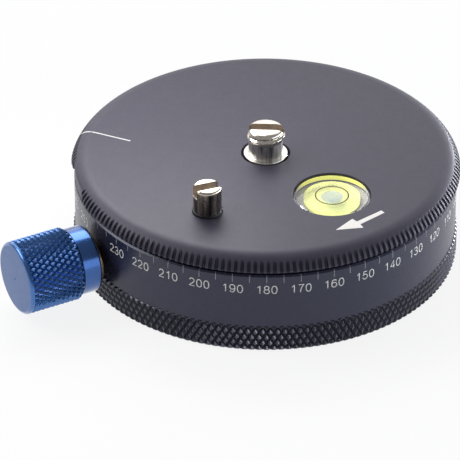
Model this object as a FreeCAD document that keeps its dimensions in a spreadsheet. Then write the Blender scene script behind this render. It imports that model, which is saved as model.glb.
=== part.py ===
"""Panoramic tripod head: a turntable plate that pans on a graduated base and locks with a side knob.

Frame: millimetres, +Z up. The origin is on the pan axis at the underside of the base, where the
tripod's 3/8 inch screw enters. -Y is the front, where the scale reads 180.
"""
import FreeCAD, Part
import os

import Sketcher

# Driving dimensions: name, value (millimetres, degrees or a count) and what it is.
SIZES = [
    # Base plate: the knurled foot ring and its floor.
    ("knurl_proud", 0.4, "how far the foot ring's crests stand out from the scale band"),
    ("foot_height", 6.4, "height of the knurled foot ring"),
    ("foot_chamfer", 0.3, "chamfer on both edges of the foot ring"),
    ("floor_thickness", 3.0, "floor inside the foot ring"),
    ("foot_wall", 3.2, "band's width over the foot ring, outside the housing's spigot"),
    ("press_clearance", 0.01, "radial clearance of pressed and screwed joints"),
    ("base_screw_inset", 11.0, "distance of the base screws from the scale band"),
    ("base_screw_count", 4, "number of base screws"),
    ("base_screw_shank", 2.0, "radius of a base screw's thread"),
    ("base_screw_head", 3.8, "radius of a base screw's countersunk head"),
    ("base_screw_recess", 0.2, "how far the heads sit above the underside"),
    ("base_screw_grip", 7.0, "length of thread in the housing"),
    ("base_hex_radius", 1.2, "radius across the corners of the hexagon sockets"),
    ("base_hex_depth", 1.2, "depth of the hexagon sockets"),
    # Tripod bush: the steel threaded socket in the floor.
    ("tripod_thread_radius", 3.97, "tapping size of a 3/8-16 thread"),
    ("tripod_thread_depth", 8.4, "length of the tripod thread"),
    ("bush_cap", 0.8, "closed end above the tripod thread"),
    ("bush_radius", 7.0, "body of the tripod bush"),
    ("bush_flange_radius", 10.4, "flange that bears on the floor"),
    ("bush_flange_thickness", 1.8, "thickness of that flange"),
    # Housing: the graduated ring with the bearing web.
    ("scale_radius", 45.0, "radius of the graduated band"),
    ("scale_height", 13.9, "height of the graduated band above the foot ring"),
    ("scale_chamfer", 0.4, "chamfer at the band's top edge"),
    ("rim_wall", 5.6, "wall of the band around the plate's spigot"),
    ("recess_depth", 1.7, "depth of that recess"),
    ("nut_pocket_gap", 1.1, "radial gap around the retaining nut"),
    ("nut_floor_gap", 0.4, "gap between the floor and the retaining nut"),
    ("web_clearance", 0.3, "radial gap around the journal outside its sleeve"),
    # Bearing.
    ("journal_radius", 18.0, "journal of the hub"),
    ("running_clearance", 0.05, "radial clearance of every running fit"),
    ("sleeve_wall", 1.2, "wall of the bearing sleeve"),
    ("sleeve_margin", 1.2, "web left between the sleeve and the brake shoe's bore"),
    ("thrust_inner_margin", 3.75, "distance of the thrust ring from the sleeve"),
    ("thrust_outer_margin", 2.0, "how far the thrust ring keeps inside the plate's spigot"),
    ("thrust_thickness", 0.9, "thickness of the thrust ring"),
    ("face_gap", 0.1, "gap between flat faces that turn past each other"),
    # Hub and what holds it.
    ("hub_cavity_gap", 1.0, "radial gap between the tripod bush and the hub"),
    ("hub_headroom", 1.9, "gap between the tripod bush and the plate screws' heads"),
    ("nut_step", 2.0, "step from the journal down to the hub's threaded end"),
    ("nut_width", 6.4, "radial width of the retaining nut"),
    ("nut_thickness", 1.8, "thickness of the retaining nut"),
    ("nut_slot_width", 2.0, "width of the spanner slots"),
    ("nut_slot_depth", 2.0, "radial depth of the spanner slots"),
    ("nut_slot_count", 4, "number of spanner slots"),
    ("spring_height", 0.7, "height of the disc spring"),
    ("spring_thickness", 0.3, "thickness of the disc spring"),
    ("spring_rim", 0.4, "how far the spring keeps inside the nut's edge"),
    ("plate_screw_margin", 0.75, "wall between the plate screws and the stud's counterbore"),
    ("plate_screw_count", 4, "number of plate screws"),
    ("plate_screw_shank", 1.5, "radius of a plate screw's thread"),
    ("plate_screw_head", 2.6, "radius of a plate screw's head"),
    ("plate_screw_head_height", 1.8, "height of a plate screw's head"),
    ("plate_screw_grip", 4.0, "length of thread in the top plate"),
    ("plate_screw_head_gap", 0.8, "gap between the screws' heads and the hub's bore"),
    ("plate_hex_radius", 1.2, "radius across the corners of their hexagon sockets"),
    ("plate_hex_depth", 1.0, "depth of those sockets"),
    # Top plate.
    ("plate_overhang", 0.8, "how far the top plate reaches beyond the scale band"),
    ("plate_rim", 3.3, "thickness of the top plate at its rim"),
    ("plate_land", 0.1, "straight part of the rim below its rounding"),
    ("rim_gap", 1.5, "open gap between the scale band and the plate"),
    ("spigot_clearance", 0.4, "radial gap between the plate's spigot and the recess"),
    # Camera stud, 3/8-16, with a coin slot.
    ("stud_radius", 4.76, "major radius of the 3/8-16 thread"),
    ("stud_projection", 7.0, "height of the stud above the plate"),
    ("stud_neck_radius", 4.05, "plain neck below the thread"),
    ("stud_neck_height", 3.0, "height of the neck"),
    ("stud_tip_radius", 3.5, "flat end of the stud"),
    ("stud_tip_chamfer", 1.1, "height of the lead chamfer"),
    ("stud_slot_width", 2.5, "width of the coin slot"),
    ("stud_slot_depth", 1.9, "depth of the coin slot"),
    ("shoulder_radius", 5.2, "shoulder flush with the plate"),
    ("shoulder_height", 1.7, "height of the shoulder"),
    ("counterbore_gap", 0.55, "open gap around the shoulder"),
    ("stud_tail", 9.0, "thread of the stud below its shoulder"),
    # Anti-twist pin.
    ("pin_x", -13.3, "position of the anti-twist pin"),
    ("pin_y", -25.3, "position of the anti-twist pin"),
    ("pin_radius", 3.28, "radius of the anti-twist pin"),
    ("pin_projection", 6.75, "height of the pin above the plate"),
    ("pin_chamfer", 0.45, "chamfer at the pin's top"),
    ("pin_collar_radius", 3.55, "collar that rests on the plate"),
    ("pin_collar_height", 0.6, "height of that collar above the plate"),
    ("pin_seat_depth", 0.2, "spot face in which the collar sits"),
    ("pin_seat_gap", 0.05, "radial gap around the collar in its spot face"),
    ("pin_thread_radius", 2.5, "screwed end of the pin"),
    ("pin_thread_length", 3.8, "length of the screwed end"),
    ("pin_slot_width", 2.6, "width of the pin's coin slot"),
    ("pin_slot_depth", 2.35, "depth of the pin's coin slot"),
    ("pin_slot_turn", 21.0, "direction of the pin's slot from +X"),
    # Circular spirit level.
    ("level_x", 15.4, "position of the spirit level"),
    ("level_y", -18.0, "position of the spirit level"),
    ("level_radius", 9.0, "radius of the level's body"),
    ("level_height", 3.9, "height of the level's body"),
    ("level_recess", 0.3, "how far the level sits below the plate's face"),
    ("level_lens", 0.9, "clear top of the level"),
    ("chamber_radius", 6.6, "liquid chamber of the level"),
    ("plug_thickness", 0.8, "plug that closes the chamber from below"),
    ("bubble_radius", 2.6, "radius of the air bubble"),
    ("bubble_depth", 0.9, "depth of the air bubble"),
    # Lock: knob, screw and brake shoe on a radial axis.
    ("lock_azimuth", 209.0, "direction of the lock axis from +X, seen from above"),
    ("lock_height", 10.35, "height of the lock axis"),
    ("shoe_radius", 3.4, "radius of the brake shoe"),
    ("shoe_length", 6.0, "length of the brake shoe"),
    ("shoe_gap", 0.6, "gap between the released shoe and the journal"),
    ("socket_depth", 2.0, "socket in the shoe for the screw's tip"),
    ("tip_radius", 1.5, "tip of the lock screw"),
    ("lock_screw_radius", 3.0, "thread of the lock screw, M6"),
    ("lock_bush_radius", 3.8, "threaded bush of the lock screw"),
    ("lock_bush_inset", 0.5, "how far the bush ends inside the scale band"),
    ("lock_bush_length", 11.4, "length of that bush"),
    ("collar_gap", 2.2, "gap between the foot ring's crest and the knob"),
    ("screw_shoulder_radius", 7.35, "shoulder of the lock screw under the knob"),
    ("screw_shoulder", 0.9, "thickness of that shoulder"),
    ("screw_shank_radius", 2.5, "plain end of the lock screw in the knob"),
    ("screw_shank_length", 10.3, "length of that end"),
    ("collar_radius", 7.93, "smooth collar of the knob"),
    ("collar_width", 4.0, "width of the collar"),
    ("collar_chamfer", 0.35, "chamfer of the collar"),
    ("groove_radius", 7.3, "groove between collar and knurl"),
    ("groove_width", 0.3, "width of that groove"),
    ("knob_radius", 8.72, "crest radius of the knob's knurl"),
    ("knob_length", 13.9, "length of the knurled part with its rounded end"),
    ("knob_edge", 1.0, "rounding of the knob's outer end"),
    ("knob_back_chamfer", 0.5, "chamfer behind the knurl"),
    ("dimple_radius", 0.35, "centre mark in the knob's face"),
    ("dimple_depth", 0.3, "depth of that mark"),
]

# Places worked out from the driving dimensions, bottom to top.
PRESS = "Sizes.press_clearance"
BASE_SCREW_NECK = "(Sizes.base_screw_recess + Sizes.base_screw_head - Sizes.base_screw_shank)"
BASE_SCREW_TOP = "(Sizes.floor_thickness + Sizes.base_screw_grip)"
KNURL_RADIUS = "(Sizes.scale_radius + Sizes.knurl_proud)"
REGISTER_RADIUS = "(Sizes.scale_radius - Sizes.foot_wall)"
RECESS_RADIUS = "(Sizes.scale_radius - Sizes.rim_wall)"
SPIGOT_RADIUS = f"({RECESS_RADIUS} - Sizes.spigot_clearance)"
PLATE_RADIUS = "(Sizes.scale_radius + Sizes.plate_overhang)"
BASE_SCREW_CIRCLE = "(Sizes.scale_radius - Sizes.base_screw_inset)"
NUT_SEAT = "(Sizes.journal_radius - Sizes.nut_step)"
NUT_OUTER = f"({NUT_SEAT} + Sizes.nut_width)"
NUT_POCKET = f"({NUT_OUTER} + Sizes.nut_pocket_gap)"
NUT_BOTTOM = "(Sizes.floor_thickness + Sizes.nut_floor_gap)"
NUT_TOP = f"({NUT_BOTTOM} + Sizes.nut_thickness)"
WEB_BOTTOM = f"({NUT_TOP} + Sizes.spring_height)"
SCALE_TOP = "(Sizes.foot_height + Sizes.scale_height)"
WEB_TOP = f"({SCALE_TOP} - Sizes.recess_depth)"
PLATE_UNDERSIDE = f"({WEB_TOP} + Sizes.thrust_thickness + Sizes.face_gap)"
RIM_UNDERSIDE = f"({SCALE_TOP} + Sizes.rim_gap)"
PLATE_TOP = f"({RIM_UNDERSIDE} + Sizes.plate_rim)"
BUSH_TOP = "(Sizes.tripod_thread_depth + Sizes.bush_cap)"
PLATE_SCREW_BOTTOM = f"({BUSH_TOP} + Sizes.hub_headroom)"
HUB_CEILING = f"({PLATE_SCREW_BOTTOM} + Sizes.plate_screw_head_height)"
STUD_SEAT = f"({PLATE_TOP} - Sizes.shoulder_height)"
LEVEL_TOP = f"({PLATE_TOP} - Sizes.level_recess)"
LEVEL_FLOOR = f"({LEVEL_TOP} - Sizes.level_height)"
LEVEL_CEILING = f"({LEVEL_TOP} - Sizes.level_lens)"
SHOE_BORE = "(Sizes.shoe_radius + Sizes.running_clearance)"
SLEEVE_BOTTOM = f"(Sizes.lock_height + {SHOE_BORE} + Sizes.sleeve_margin)"
SLEEVE_BORE = "(Sizes.journal_radius + Sizes.running_clearance)"
SLEEVE_OUTER = f"({SLEEVE_BORE} + Sizes.sleeve_wall)"
THRUST_INNER = f"({SLEEVE_OUTER} + Sizes.thrust_inner_margin)"
THRUST_OUTER = f"({SPIGOT_RADIUS} - Sizes.thrust_outer_margin)"
STUD_HOLE = "(Sizes.stud_radius + Sizes.press_clearance)"
COUNTERBORE = "(Sizes.shoulder_radius + Sizes.counterbore_gap)"
PLATE_SCREW_CIRCLE = f"({COUNTERBORE} + Sizes.plate_screw_margin + Sizes.plate_screw_shank)"
PLATE_SCREW_ROOM = f"({PLATE_SCREW_CIRCLE} + Sizes.plate_screw_head + Sizes.plate_screw_head_gap)"
HUB_CAVITY = f"max(Sizes.bush_flange_radius + Sizes.hub_cavity_gap; {PLATE_SCREW_ROOM})"
PLATE_SCREW_TOP = f"({PLATE_UNDERSIDE} + Sizes.plate_screw_grip)"
PIN_SEAT = f"({PLATE_TOP} - Sizes.pin_seat_depth)"
PIN_FOOT = f"({PIN_SEAT} - Sizes.pin_thread_length)"
PLUG_TOP = f"({LEVEL_FLOOR} + Sizes.plug_thickness)"
BUBBLE_SPHERE = "((Sizes.bubble_radius ^ 2 + Sizes.bubble_depth ^ 2) / (2 * Sizes.bubble_depth))"

# Places along the lock axis, measured outward from the pan axis.
SHOE_FACE = "(Sizes.journal_radius + Sizes.shoe_gap)"
SHOE_BACK = f"({SHOE_FACE} + Sizes.shoe_length)"
LOCK_BUSH_OUTER = "(Sizes.scale_radius - Sizes.lock_bush_inset)"
LOCK_BUSH_INNER = f"({LOCK_BUSH_OUTER} - Sizes.lock_bush_length)"
KNOB_BACK = f"({KNURL_RADIUS} + Sizes.collar_gap)"
GROOVE_INNER = f"({KNOB_BACK} + Sizes.collar_width)"
GROOVE_OUTER = f"({GROOVE_INNER} + Sizes.groove_width)"
KNOB_FACE = f"({GROOVE_OUTER} + Sizes.knob_length)"
SHANK_END = f"({KNOB_BACK} + Sizes.screw_shank_length)"

# Placements of the bodies that aren't modelled in the part's own frame.
LOCK_SIDE_PLACEMENT = (
    "create(<<placement>>; create(<<vector>>; 0; 0; 0);"
    " create(<<rotation>>; create(<<vector>>; 0; 0; 1); Sizes.lock_azimuth))"
)
BASE_SCREW_PLACEMENT = (
    "create(<<placement>>; create(<<vector>>; 0; 0; 0); create(<<rotation>>;"
    " create(<<vector>>; 0; 0; 1); Sizes.lock_azimuth + 180 / Sizes.base_screw_count))"
)
LOCK_AXIS_PLACEMENT = (
    "create(<<placement>>; create(<<vector>>; 0; 0; Sizes.lock_height);"
    " create(<<rotation>>; create(<<vector>>; -sin(Sizes.lock_azimuth);"
    " cos(Sizes.lock_azimuth); 0); 90))"
)
PIN_PLACEMENT = (
    "create(<<placement>>; create(<<vector>>; Sizes.pin_x; Sizes.pin_y; 0);"
    " create(<<rotation>>; create(<<vector>>; 0; 0; 1); Sizes.pin_slot_turn))"
)
LEVEL_PLACEMENT = (
    "create(<<placement>>; create(<<vector>>; Sizes.level_x; Sizes.level_y; 0);"
    " create(<<rotation>>; create(<<vector>>; 0; 0; 1); 0))"
)

FULL_TURN = 360
SAME_PLACE = 1e-4
HEXAGON_SIDES = 6

doc = FreeCAD.newDocument("PanoramicHead")


def make_sheet():
    """The spreadsheet of driving dimensions: name, value and meaning in columns A, B and C."""
    sheet = doc.addObject("Spreadsheet::Sheet", "Sizes")
    for row, (name, number, meaning) in enumerate(SIZES, start=1):
        sheet.set(f"A{row}", name)
        sheet.set(f"B{row}", str(number))
        sheet.set(f"C{row}", meaning)
        sheet.setAlias(f"B{row}", name)
    doc.recompute()
    return sheet


sheet = make_sheet()


def number(expression):
    """The value of an expression over the sheet, as a plain number."""
    result = sheet.evalExpression(str(expression))
    return float(getattr(result, "Value", result))


def new_body(label):
    """An empty body whose label is the sub-part's name."""
    body = doc.addObject("PartDesign::Body", label)
    body.Label = label
    return body


def origin_feature(body, role):
    """A plane or an axis of the body's own origin."""
    for feature in body.Origin.OriginFeatures:
        if feature.Role == role:
            return feature
    raise ValueError(f"{body.Label} has no {role}")


def new_sketch(body, name, plane, across="0", along="0"):
    """A sketch on an origin plane, shifted across along its X and along its normal."""
    sketch = body.newObject("Sketcher::SketchObject", name)
    sketch.AttachmentSupport = [(origin_feature(body, plane), "")]
    sketch.MapMode = "FlatFace"
    sketch.setExpression("AttachmentOffset.Base.x", across)
    sketch.setExpression("AttachmentOffset.Base.z", along)
    return sketch


def draw_outline(sketch, corners):
    """A closed outline of straight lines whose corners are pairs of expressions."""
    points = [FreeCAD.Vector(number(x), number(y), 0) for x, y in corners]
    lines = []
    for index, start in enumerate(points):
        end = points[(index + 1) % len(points)]
        lines.append(sketch.addGeometry(Part.LineSegment(start, end), False))
    for index, line in enumerate(lines):
        following = lines[(index + 1) % len(lines)]
        sketch.addConstraint(Sketcher.Constraint("Coincident", line, 2, following, 1))
    for line, point, corner in zip(lines, points, corners):
        for kind, at, expression in (("DistanceX", point.x, corner[0]), ("DistanceY", point.y, corner[1])):
            index = sketch.addConstraint(Sketcher.Constraint(kind, -1, 1, line, 1, at))
            sketch.setExpression(f"Constraints[{index}]", expression)


def draw_circle(sketch, x, y, radius):
    """A circle whose centre and radius are expressions."""
    centre = FreeCAD.Vector(number(x), number(y), 0)
    circle = sketch.addGeometry(Part.Circle(centre, FreeCAD.Vector(0, 0, 1), number(radius)), False)
    constraints = (
        (Sketcher.Constraint("DistanceX", -1, 1, circle, 3, centre.x), x),
        (Sketcher.Constraint("DistanceY", -1, 1, circle, 3, centre.y), y),
        (Sketcher.Constraint("Radius", circle, number(radius)), radius),
    )
    for constraint, expression in constraints:
        index = sketch.addConstraint(constraint)
        sketch.setExpression(f"Constraints[{index}]", expression)


def add_checked(body, feature, adds):
    """Recomputes and makes sure that the feature added or removed material."""
    before = feature.BaseFeature.Shape.Volume if feature.BaseFeature else 0.0
    doc.recompute()
    change = feature.Shape.Volume - before
    if (change > 0) != adds or change == 0:
        raise ValueError(f"{body.Label}: {feature.Name} changed the volume by {change}")
    return feature


def ring_corners(inner, outer, bottom, top):
    """Half section of a plain ring."""
    return [(inner, bottom), (outer, bottom), (outer, top), (inner, top)]


def revolve(body, name, corners, across="0"):
    """Turns an outline of (radius, height) corners about a vertical axis."""
    sketch = new_sketch(body, f"{name}_outline", "XZ_Plane", across=across)
    draw_outline(sketch, corners)
    feature = body.newObject("PartDesign::Revolution", name)
    feature.Profile = sketch
    feature.ReferenceAxis = (sketch, ["V_Axis"])
    feature.Angle = FULL_TURN
    return add_checked(body, feature, adds=True)


def groove(body, name, corners, across="0"):
    """Cuts an outline of (radius, height) corners turned about a vertical axis."""
    sketch = new_sketch(body, f"{name}_outline", "XZ_Plane", across=across)
    draw_outline(sketch, corners)
    feature = body.newObject("PartDesign::Groove", name)
    feature.Profile = sketch
    feature.ReferenceAxis = (sketch, ["V_Axis"])
    feature.Angle = FULL_TURN
    return add_checked(body, feature, adds=False)


def pocket_down(body, name, top, bottom, draw):
    """A vertical recess from one height down to another; draw puts its outline on the sketch."""
    sketch = new_sketch(body, f"{name}_outline", "XY_Plane", along=top)
    draw(sketch)
    feature = body.newObject("PartDesign::Pocket", name)
    feature.Profile = sketch
    feature.Type = "Length"
    feature.setExpression("Length", f"{top} - {bottom}")
    return add_checked(body, feature, adds=False)


def bore_down(body, name, x, y, radius, top, bottom):
    """A vertical round hole from one height down to another."""
    return pocket_down(body, name, top, bottom, lambda sketch: draw_circle(sketch, x, y, radius))


def hexagon_corners(x, radius):
    """Corners of a hexagon centred on the X axis."""
    step = FULL_TURN / HEXAGON_SIDES
    return [
        (f"{x} + {radius} * cos({step * side})", f"{radius} * sin({step * side})")
        for side in range(HEXAGON_SIDES)
    ]


def bore_inward(body, name, radius, outer, inner):
    """A round hole along the lock axis, which is +X here, from outer to inner."""
    sketch = new_sketch(body, f"{name}_outline", "YZ_Plane", along=outer)
    draw_circle(sketch, "0", "Sizes.lock_height", radius)
    feature = body.newObject("PartDesign::Pocket", name)
    feature.Profile = sketch
    feature.Type = "Length"
    feature.setExpression("Length", f"{outer} - {inner}")
    return add_checked(body, feature, adds=False)


def cut_coin_slot(body, name, width, low, high):
    """A straight slot along X right across a turned piece, from low to high."""
    sketch = new_sketch(body, f"{name}_outline", "YZ_Plane")
    half = f"{width} / 2"
    draw_outline(sketch, [(f"-{half}", low), (half, low), (half, high), (f"-{half}", high)])
    feature = body.newObject("PartDesign::Pocket", name)
    feature.Profile = sketch
    feature.Type = "ThroughAll"
    feature.Midplane = True
    return add_checked(body, feature, adds=False)


def repeat_around(body, features, name, count):
    """Repeats features evenly around the body's vertical axis."""
    before = body.Tip.Shape.Volume
    pattern = body.newObject("PartDesign::PolarPattern", name)
    pattern.Originals = features
    pattern.Axis = (origin_feature(body, "Z_Axis"), [""])
    pattern.Angle = FULL_TURN
    pattern.setExpression("Occurrences", count)
    body.Tip = pattern
    doc.recompute()
    if pattern.Shape.Volume == before:
        raise ValueError(f"{body.Label}: {name} repeated nothing")


def round_edge(body, name, radius, height, size):
    """Rounds the full circle of an edge that lies at a given radius and height."""
    base = body.Tip
    chosen = []
    for index, edge in enumerate(base.Shape.Edges, start=1):
        if not isinstance(edge.Curve, Part.Circle):
            continue
        off_radius = abs(edge.Curve.Radius - number(radius))
        off_height = abs(edge.Curve.Center.z - number(height))
        if max(off_radius, off_height) < SAME_PLACE:
            chosen.append(f"Edge{index}")
    fillet = body.newObject("PartDesign::Fillet", name)
    fillet.Base = (base, chosen)
    fillet.setExpression("Radius", size)
    add_checked(body, fillet, adds=False)


def make_base_plate():
    """The knurled foot ring with its floor, open in the middle for the tripod bush."""
    body = new_body("base_plate")
    chamfer = "Sizes.foot_chamfer"
    rim_bore = f"({REGISTER_RADIUS} + Sizes.press_clearance)"
    bush_hole = "(Sizes.bush_radius + Sizes.press_clearance)"
    revolve(body, "FootRing", [
        (bush_hole, "0"),
        (f"{KNURL_RADIUS} - {chamfer}", "0"),
        (KNURL_RADIUS, chamfer),
        (KNURL_RADIUS, f"Sizes.foot_height - {chamfer}"),
        (f"{KNURL_RADIUS} - {chamfer}", "Sizes.foot_height"),
        (rim_bore, "Sizes.foot_height"),
        (rim_bore, "Sizes.floor_thickness"),
        (bush_hole, "Sizes.floor_thickness"),
    ])
    hole = groove(body, "ScrewHole", [
        ("0", "0"),
        (f"Sizes.base_screw_head + {PRESS}", "0"),
        (f"Sizes.base_screw_head + {PRESS}", "Sizes.base_screw_recess"),
        (f"Sizes.base_screw_shank + {PRESS}", BASE_SCREW_NECK),
        (f"Sizes.base_screw_shank + {PRESS}", "Sizes.floor_thickness"),
        ("0", "Sizes.floor_thickness"),
    ], across=BASE_SCREW_CIRCLE)
    repeat_around(body, [hole], "ScrewHoles", "Sizes.base_screw_count")
    body.setExpression("Placement", BASE_SCREW_PLACEMENT)
    return body


def make_base_screws():
    """Countersunk screws that hold the housing to the base plate from below."""
    body = new_body("base_screws")
    screw = revolve(body, "Screw", [
        ("0", "Sizes.base_screw_recess"),
        ("Sizes.base_screw_head", "Sizes.base_screw_recess"),
        ("Sizes.base_screw_shank", BASE_SCREW_NECK),
        ("Sizes.base_screw_shank", BASE_SCREW_TOP),
        ("0", BASE_SCREW_TOP),
    ], across=BASE_SCREW_CIRCLE)
    socket_top = "(Sizes.base_screw_recess + Sizes.base_hex_depth)"
    corners = hexagon_corners(BASE_SCREW_CIRCLE, "Sizes.base_hex_radius")
    socket = pocket_down(
        body, "Socket", socket_top, "Sizes.base_screw_recess", lambda sketch: draw_outline(sketch, corners)
    )
    repeat_around(body, [screw, socket], "Screws", "Sizes.base_screw_count")
    body.setExpression("Placement", BASE_SCREW_PLACEMENT)
    return body


def make_tripod_bush():
    """The steel socket for the tripod's screw, its flange bearing on the floor."""
    body = new_body("tripod_bush")
    flange_top = "(Sizes.floor_thickness + Sizes.bush_flange_thickness)"
    revolve(body, "Socket", [
        ("Sizes.tripod_thread_radius", "0"),
        ("Sizes.bush_radius", "0"),
        ("Sizes.bush_radius", "Sizes.floor_thickness"),
        ("Sizes.bush_flange_radius", "Sizes.floor_thickness"),
        ("Sizes.bush_flange_radius", flange_top),
        ("Sizes.bush_radius", flange_top),
        ("Sizes.bush_radius", BUSH_TOP),
        ("0", BUSH_TOP),
        ("0", "Sizes.tripod_thread_depth"),
        ("Sizes.tripod_thread_radius", "Sizes.tripod_thread_depth"),
    ])
    return body


def make_housing():
    """The graduated ring and the bearing web inside it, bored along +X for the lock."""
    body = new_body("housing")
    sleeve_seat = f"({SLEEVE_OUTER} + {PRESS})"
    web_bore = "(Sizes.journal_radius + Sizes.web_clearance)"
    revolve(body, "Ring", [
        (NUT_POCKET, "Sizes.floor_thickness"),
        (REGISTER_RADIUS, "Sizes.floor_thickness"),
        (REGISTER_RADIUS, "Sizes.foot_height"),
        ("Sizes.scale_radius", "Sizes.foot_height"),
        ("Sizes.scale_radius", f"{SCALE_TOP} - Sizes.scale_chamfer"),
        ("Sizes.scale_radius - Sizes.scale_chamfer", SCALE_TOP),
        (RECESS_RADIUS, SCALE_TOP),
        (RECESS_RADIUS, WEB_TOP),
        (sleeve_seat, WEB_TOP),
        (sleeve_seat, SLEEVE_BOTTOM),
        (web_bore, SLEEVE_BOTTOM),
        (web_bore, WEB_BOTTOM),
        (NUT_POCKET, WEB_BOTTOM),
    ])
    hole = bore_down(
        body, "ScrewHole",
        f"{BASE_SCREW_CIRCLE} * cos(180 / Sizes.base_screw_count)",
        f"{BASE_SCREW_CIRCLE} * sin(180 / Sizes.base_screw_count)",
        f"Sizes.base_screw_shank + {PRESS}", BASE_SCREW_TOP, "Sizes.floor_thickness",
    )
    repeat_around(body, [hole], "ScrewHoles", "Sizes.base_screw_count")
    bore_inward(body, "BushBore", f"Sizes.lock_bush_radius + {PRESS}", KNURL_RADIUS, LOCK_BUSH_INNER)
    bore_inward(body, "ShoeBore", SHOE_BORE, LOCK_BUSH_INNER, "0")
    body.setExpression("Placement", LOCK_SIDE_PLACEMENT)
    return body


def make_journal_sleeve():
    """The sleeve in which the hub turns, pressed into the web."""
    body = new_body("journal_sleeve")
    revolve(body, "Sleeve", ring_corners(SLEEVE_BORE, SLEEVE_OUTER, SLEEVE_BOTTOM, WEB_TOP))
    return body


def make_thrust_ring():
    """The slide ring on the web that carries the top plate."""
    body = new_body("thrust_ring")
    top = f"({WEB_TOP} + Sizes.thrust_thickness)"
    revolve(body, "Ring", ring_corners(THRUST_INNER, THRUST_OUTER, WEB_TOP, top))
    return body


def make_lock_bush():
    """The threaded bush that guides the lock screw."""
    body = new_body("lock_bush")
    bore = "(Sizes.lock_screw_radius + Sizes.running_clearance)"
    revolve(body, "Bush", ring_corners(bore, "Sizes.lock_bush_radius", LOCK_BUSH_INNER, LOCK_BUSH_OUTER))
    body.setExpression("Placement", LOCK_AXIS_PLACEMENT)
    return body


def make_top_plate():
    """The turning plate: rounded rim, labyrinth spigot below and recesses for what it carries."""
    body = new_body("top_plate")
    revolve(body, "Disc", [
        (STUD_HOLE, PLATE_UNDERSIDE),
        (SPIGOT_RADIUS, PLATE_UNDERSIDE),
        (SPIGOT_RADIUS, RIM_UNDERSIDE),
        (PLATE_RADIUS, RIM_UNDERSIDE),
        (PLATE_RADIUS, PLATE_TOP),
        (COUNTERBORE, PLATE_TOP),
        (COUNTERBORE, STUD_SEAT),
        (STUD_HOLE, STUD_SEAT),
    ])
    round_edge(body, "Edge", PLATE_RADIUS, PLATE_TOP, "Sizes.plate_rim - Sizes.plate_land")
    bore_down(
        body, "LevelPocket", "Sizes.level_x", "Sizes.level_y",
        f"Sizes.level_radius + {PRESS}", PLATE_TOP, LEVEL_FLOOR,
    )
    bore_down(
        body, "PinSeat", "Sizes.pin_x", "Sizes.pin_y",
        "Sizes.pin_collar_radius + Sizes.pin_seat_gap", PLATE_TOP, PIN_SEAT,
    )
    bore_down(
        body, "PinHole", "Sizes.pin_x", "Sizes.pin_y",
        f"Sizes.pin_thread_radius + {PRESS}", PIN_SEAT, PIN_FOOT,
    )
    hole = bore_down(
        body, "ScrewHole", PLATE_SCREW_CIRCLE, "0",
        f"Sizes.plate_screw_shank + {PRESS}", PLATE_SCREW_TOP, PLATE_UNDERSIDE,
    )
    repeat_around(body, [hole], "ScrewHoles", "Sizes.plate_screw_count")
    return body


def make_hub():
    """The journal under the plate, hollow around the tripod bush and threaded for its nut."""
    body = new_body("hub")
    revolve(body, "Journal", [
        (STUD_HOLE, HUB_CEILING),
        (HUB_CAVITY, HUB_CEILING),
        (HUB_CAVITY, NUT_BOTTOM),
        (NUT_SEAT, NUT_BOTTOM),
        (NUT_SEAT, NUT_TOP),
        ("Sizes.journal_radius", NUT_TOP),
        ("Sizes.journal_radius", PLATE_UNDERSIDE),
        (STUD_HOLE, PLATE_UNDERSIDE),
    ])
    hole = bore_down(
        body, "ScrewHole", PLATE_SCREW_CIRCLE, "0",
        f"Sizes.plate_screw_shank + {PRESS}", PLATE_UNDERSIDE, HUB_CEILING,
    )
    repeat_around(body, [hole], "ScrewHoles", "Sizes.plate_screw_count")
    return body


def make_plate_screws():
    """Cap screws that hold the hub to the plate from inside the hub."""
    body = new_body("plate_screws")
    screw = revolve(body, "Screw", [
        ("0", PLATE_SCREW_BOTTOM),
        ("Sizes.plate_screw_head", PLATE_SCREW_BOTTOM),
        ("Sizes.plate_screw_head", HUB_CEILING),
        ("Sizes.plate_screw_shank", HUB_CEILING),
        ("Sizes.plate_screw_shank", PLATE_SCREW_TOP),
        ("0", PLATE_SCREW_TOP),
    ], across=PLATE_SCREW_CIRCLE)
    socket_top = f"({PLATE_SCREW_BOTTOM} + Sizes.plate_hex_depth)"
    corners = hexagon_corners(PLATE_SCREW_CIRCLE, "Sizes.plate_hex_radius")
    socket = pocket_down(
        body, "Socket", socket_top, PLATE_SCREW_BOTTOM, lambda sketch: draw_outline(sketch, corners)
    )
    repeat_around(body, [screw, socket], "Screws", "Sizes.plate_screw_count")
    return body


def make_retaining_nut():
    """The ring nut on the hub's end, slotted for a pin spanner."""
    body = new_body("retaining_nut")
    bore = f"({NUT_SEAT} + {PRESS})"
    revolve(body, "Nut", ring_corners(bore, NUT_OUTER, NUT_BOTTOM, NUT_TOP))
    inner = f"({NUT_OUTER} - Sizes.nut_slot_depth)"
    outer = f"({NUT_OUTER} + Sizes.nut_slot_depth)"
    half = "Sizes.nut_slot_width / 2"
    corners = [(inner, f"-{half}"), (outer, f"-{half}"), (outer, half), (inner, half)]
    slot = pocket_down(body, "Slot", NUT_TOP, NUT_BOTTOM, lambda sketch: draw_outline(sketch, corners))
    repeat_around(body, [slot], "Slots", "Sizes.nut_slot_count")
    return body


def make_disc_spring():
    """The coned spring washer between the nut and the web, which takes up the play."""
    body = new_body("disc_spring")
    inner = "(Sizes.journal_radius + Sizes.web_clearance)"
    outer = f"({NUT_OUTER} - Sizes.spring_rim)"
    top = f"({WEB_BOTTOM} - Sizes.face_gap)"
    revolve(body, "Cone", [
        (inner, NUT_TOP),
        (inner, f"{NUT_TOP} + Sizes.spring_thickness"),
        (outer, top),
        (outer, f"{top} - Sizes.spring_thickness"),
    ])
    return body


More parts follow.
